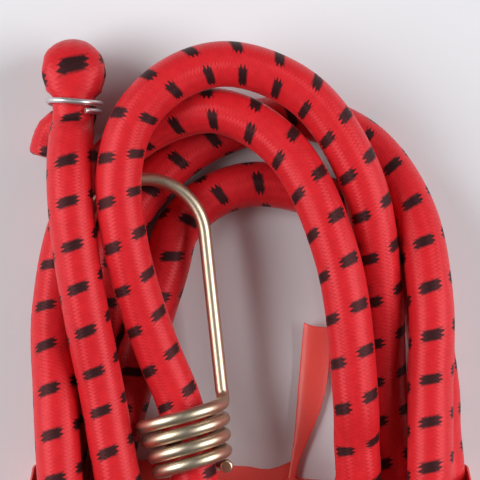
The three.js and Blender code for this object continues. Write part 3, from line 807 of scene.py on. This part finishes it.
def noise(tree, spot, scale, detail):
    """Soft noise from 0 to 1 over the surface."""
    made = node(tree, "ShaderNodeTexNoise", Vector=spot, Scale=scale, Detail=detail)
    return made.outputs["Fac"]


def soft_step(tree, depth, blur):
    """0 to 1 as depth passes zero, over the given blur."""
    spread = maths(tree, "DIVIDE", depth, blur)
    return node(tree, "ShaderNodeClamp", Value=maths(tree, "ADD", spread, 0.5)).outputs[0]


def colour_mix(tree, share, first, second):
    """The first colour, with this share of the second."""
    made = tree.nodes.new("ShaderNodeMix")
    made.data_type = "RGBA"
    for place, value in zip(MIX_INPUTS, (share, first, second)):
        feed(tree, made.inputs[place], value)
    return made.outputs[MIX_RESULT]


def new_group(name, inputs, outputs):
    """A shader node group, with the sockets that its own nodes read and those that they feed."""
    group = bpy.data.node_groups.new(name, "ShaderNodeTree")
    for label, kind, value in inputs:
        socket = group.interface.new_socket(name=label, in_out="INPUT", socket_type=kind)
        if value is not None:
            socket.default_value = value
    for label, kind in outputs:
        group.interface.new_socket(name=label, in_out="OUTPUT", socket_type=kind)
    return group, group.nodes.new("NodeGroupInput").outputs, group.nodes.new("NodeGroupOutput").inputs


def braid_group():
    """Sheath braid: yarn relief, yarn tone and painted shade, and the mask of the dark flecks."""
    group, into, out = new_group(
        "braided yarn",
        [("Place", "NodeSocketVector", None), ("Length", "NodeSocketFloat", 1.0),
         ("Girth", "NodeSocketFloat", 1.0)],
        [("Relief", "NodeSocketFloat"), ("Shade", "NodeSocketFloat"), ("Fleck", "NodeSocketFloat")],
    )

    def calc(operation, *values):
        return maths(group, operation, *values)

    # Turns round the cord, and millimetres along it
    place = node(group, "ShaderNodeSeparateXYZ", Vector=into["Place"]).outputs
    around = place["X"]
    along = calc("MULTIPLY", place["Y"], into["Length"])

    # Yarns that wind both ways round the cord, rounded, each over and under the others in turn
    turns = calc("MULTIPLY", around, float(YARNS_EACH_WAY))
    rows = calc("DIVIDE", along, YARN_ROW)
    rising = calc("ADD", turns, rows)
    falling = calc("SUBTRACT", turns, rows)
    crests = []
    for way in (rising, falling):
        offset = calc("ABSOLUTE", calc("SUBTRACT", calc("FRACT", way), 0.5))
        crest = calc("SUBTRACT", 1.0, calc("MULTIPLY", calc("POWER", offset, 2.0), 4.0))
        strands = calc("SINE", calc("MULTIPLY", way, 2 * math.pi * YARN_STRANDS))
        crests.append(calc("ADD", crest, calc("MULTIPLY", strands, STRAND_RELIEF)))
    cells = calc("ADD", calc("FLOOR", rising), calc("FLOOR", falling))
    over = calc("FLOORED_MODULO", cells, 2.0)
    under = calc("SUBTRACT", 1.0, over)
    relief = calc("ADD", calc("MULTIPLY", crests[0], under), calc("MULTIPLY", crests[1], over))
    group.links.new(relief, out["Relief"])

    # Shade: patches of lighter yarn, and painted shade in the hollows between the yarn crests
    across = calc("MULTIPLY", around, into["Girth"])
    spot = node(group, "ShaderNodeCombineXYZ", X=across, Y=along).outputs[0]
    tone = noise(group, spot, SHADE_NOISE_SCALE, SHADE_NOISE_DETAIL)
    shade = calc("ADD", calc("MULTIPLY", relief, PAINTED_SHADE_FROM_RELIEF),
                 calc("MULTIPLY", tone, SHADE_FROM_NOISE))
    group.links.new(shade, out["Shade"])

    # Flecks: one at every pitch of each column, each column part of a pitch ahead of the last, with
    # slanted sides and pronged ends
    waver = calc("SUBTRACT", noise(group, spot, FLECK_NOISE_SCALE, FLECK_NOISE_DETAIL), 0.5)
    columns = calc("MULTIPLY", around, float(FLECK_COLUMNS))
    column = calc("FLOOR", columns)
    aside = calc("MULTIPLY", calc("SUBTRACT", calc("FRACT", columns), 0.5),
                 calc("DIVIDE", into["Girth"], float(FLECK_COLUMNS)))
    step = calc("ADD", calc("DIVIDE", along, FLECK_PITCH),
                calc("MULTIPLY", column, 1.0 / FLECK_COLUMNS))
    ahead = calc("MULTIPLY", calc("SUBTRACT", calc("FRACT", step), 0.5), FLECK_PITCH)
    slanted = calc("ADD", ahead, calc("MULTIPLY", aside, FLECK_SLANT))
    prongs = calc("COSINE", calc("MULTIPLY", slanted, 2 * math.pi / PRONG_PITCH))
    reach = calc("ADD", calc("MULTIPLY", prongs, -PRONG_DEPTH), FLECK_HALF_WIDTH)
    reach = calc("ADD", reach, calc("MULTIPLY", waver, FLECK_WAVER))
    within_width = soft_step(group, calc("SUBTRACT", reach, calc("ABSOLUTE", aside)), FLECK_BLUR)
    height = calc("ADD", FLECK_HALF_LENGTH, calc("MULTIPLY", waver, FLECK_WAVER / 2))
    within_length = soft_step(group, calc("SUBTRACT", height, calc("ABSOLUTE", slanted)), FLECK_BLUR)
    group.links.new(calc("MULTIPLY", within_width, within_length), out["Fleck"])
    return group


def wear_group():
    """Masks for the uneven tint and gloss of a plated or moulded surface."""
    group, into, out = new_group(
        "uneven finish",
        [("Scale", "NodeSocketFloat", 100.0), ("Stretch", "NodeSocketVector", (1.0, 1.0, 1.0))],
        [("Cloud", "NodeSocketFloat"), ("Grain", "NodeSocketFloat")],
    )
    spot = group.nodes.new("ShaderNodeTexCoord").outputs["Object"]
    stretched = node(group, "ShaderNodeMapping", Vector=spot, Scale=into["Stretch"]).outputs[0]
    fine = maths(group, "MULTIPLY", into["Scale"], GRAIN_RATIO)
    cloud = noise(group, stretched, into["Scale"], CLOUD_DETAIL)
    grain = noise(group, stretched, fine, GRAIN_DETAIL)
    group.links.new(cloud, out["Cloud"])
    group.links.new(grain, out["Grain"])
    return group


def use_group(tree, group, **values):
    """Outputs of a node group placed in a material, with these values fed to it."""
    made = tree.nodes.new("ShaderNodeGroup")
    made.node_tree = group
    for key, value in values.items():
        feed(tree, made.inputs[key], value)
    return made.outputs


def new_material(name):
    material = bpy.data.materials.new(name)
    material.use_nodes = True
    tree = material.node_tree
    return material, tree, tree.nodes["Principled BSDF"]


def uneven_gloss(tree, shader, grain, roughness, spread):
    """Roughness that the grain varies by this spread, about its middle value."""
    varied = maths(tree, "ADD", maths(tree, "MULTIPLY", grain, spread), roughness - spread / 2)
    tree.links.new(varied, shader.inputs["Roughness"])


def bump(tree, shader, height, strength, distance):
    """Relief of the surface, its distance in millimetres."""
    made = node(tree, "ShaderNodeBump", Height=height, Strength=strength, Distance=distance * MM)
    tree.links.new(made.outputs[0], shader.inputs["Normal"])


BRAID = braid_group()
WEAR = wear_group()


def sheath_material():
    material, tree, shader = new_material("red flecked braid")
    uv = tree.nodes.new("ShaderNodeUVMap")
    uv.uv_map = "cord"
    braid = use_group(tree, BRAID, Place=uv.outputs[0], Length=cord_length,
                      Girth=math.pi * CORD_DIAMETER)
    # Yarn colour: darker in random patches, and painted darker in the hollows between yarn crests
    yarn = colour_mix(tree, braid["Shade"], YARN_TONE_AND_PAINTED_SHADE, YARN_RED)
    colour = colour_mix(tree, braid["Fleck"], yarn, FLECK_BLACK)
    tree.links.new(colour, shader.inputs["Base Color"])
    duller = maths(tree, "MULTIPLY", braid["Fleck"], FLECK_DULLER)
    tree.links.new(maths(tree, "ADD", duller, YARN_ROUGHNESS), shader.inputs["Roughness"])
    shader.inputs["Specular IOR Level"].default_value = YARN_SPECULAR
    shader.inputs["Specular Tint"].default_value = YARN_SPECULAR_TINT
    shader.inputs["Sheen Weight"].default_value = YARN_SHEEN
    shader.inputs["Sheen Roughness"].default_value = YARN_SHEEN_ROUGHNESS
    shader.inputs["Sheen Tint"].default_value = YARN_SHEEN_TINT
    bump(tree, shader, braid["Relief"], YARN_BUMP, YARN_RELIEF)
    return material


def wire_material(name, tints, roughness, metallic=1.0):
    material, tree, shader = new_material(name)
    wear = use_group(tree, WEAR, Scale=WIRE_CLOUD_SCALE)
    tree.links.new(colour_mix(tree, wear["Cloud"], *tints), shader.inputs["Base Color"])
    uneven_gloss(tree, shader, wear["Grain"], roughness, WIRE_GLOSS_SPREAD)
    shader.inputs["Metallic"].default_value = metallic
    bump(tree, shader, wear["Grain"], WIRE_BUMP, WIRE_GRAIN_DEPTH)
    return material


def rubber_material():
    material, tree, shader = new_material("dark rubber")
    wear = use_group(tree, WEAR, Scale=RUBBER_CLOUD_SCALE)
    tree.links.new(colour_mix(tree, wear["Cloud"], *RUBBER_TINTS), shader.inputs["Base Color"])
    shader.inputs["Roughness"].default_value = RUBBER_ROUGHNESS
    bump(tree, shader, wear["Grain"], RUBBER_BUMP, RUBBER_GRAIN_DEPTH)
    return material


def strip_material():
    material, tree, shader = new_material("red plastic strip")
    wear = use_group(tree, WEAR, Scale=STRIP_CLOUD_SCALE, Stretch=STRIP_CLOUD_STRETCH)
    tree.links.new(colour_mix(tree, wear["Cloud"], *STRIP_TINTS), shader.inputs["Base Color"])
    uneven_gloss(tree, shader, wear["Grain"], STRIP_ROUGHNESS, STRIP_GLOSS_SPREAD)
    bump(tree, shader, wear["Cloud"], STRIP_BUMP, STRIP_CLOUD_DEPTH)
    return material


def floor_material():
    material, _, shader = new_material("pale floor")
    shader.inputs["Base Color"].default_value = FLOOR_COLOUR
    shader.inputs["Roughness"].default_value = FLOOR_ROUGHNESS
    return material


zinc = wire_material("yellow zinc plate", ZINC_TINTS, ZINC_ROUGHNESS)
steel = wire_material("bright zinc plate", STEEL_TINTS, STEEL_ROUGHNESS)
bare = wire_material("bare cut steel", CUT_TINTS, CUT_ROUGHNESS, metallic=0.0)
finishes = {
    cord: [sheath_material()], core: [rubber_material()], tie: [strip_material()],
    hook_1: [zinc, bare], hook_2: [zinc, bare], ring_1: [steel, bare], ring_2: [steel, bare],
}
for piece, materials in finishes.items():
    piece.data.materials.clear()
    for material in materials:
        piece.data.materials.append(material)
# The cut faces of a wire are its only faces with more than four corners
for piece in (hook_1, hook_2, ring_1, ring_2):
    for polygon in piece.data.polygons:
        polygon.material_index = int(len(polygon.vertices) > QUAD_CORNERS)

# Floor, lights and world
bpy.ops.object.select_all(action="DESELECT")
bpy.ops.mesh.primitive_plane_add(size=FLOOR_SIZE, location=(0, 0, -FLOOR_DROP))
floor = bpy.context.object
floor.name = "floor"
floor.data.materials.append(floor_material())

for name, side in (("left softbox", -1), ("right softbox", 1)):
    lamp_data = bpy.data.lights.new(name, "AREA")
    lamp_data.size = SOFTBOX_SIZE
    lamp_data.energy = SOFTBOX_POWER
    lamp = bpy.data.objects.new(name, lamp_data)
    lamp.location = (side * SOFTBOX_ASIDE, SOFTBOX_AHEAD, SOFTBOX_HEIGHT)
    lamp.rotation_euler = (-lamp.location).to_track_quat("-Z", "Y").to_euler()
    bpy.context.collection.objects.link(lamp)

world = bpy.data.worlds.new("studio")
bpy.context.scene.world = world
world.use_nodes = True
background = world.node_tree.nodes["Background"]
background.inputs["Color"].default_value = WORLD_COLOUR
background.inputs["Strength"].default_value = WORLD_STRENGTH
bpy.context.scene.view_settings.view_transform = "Standard"
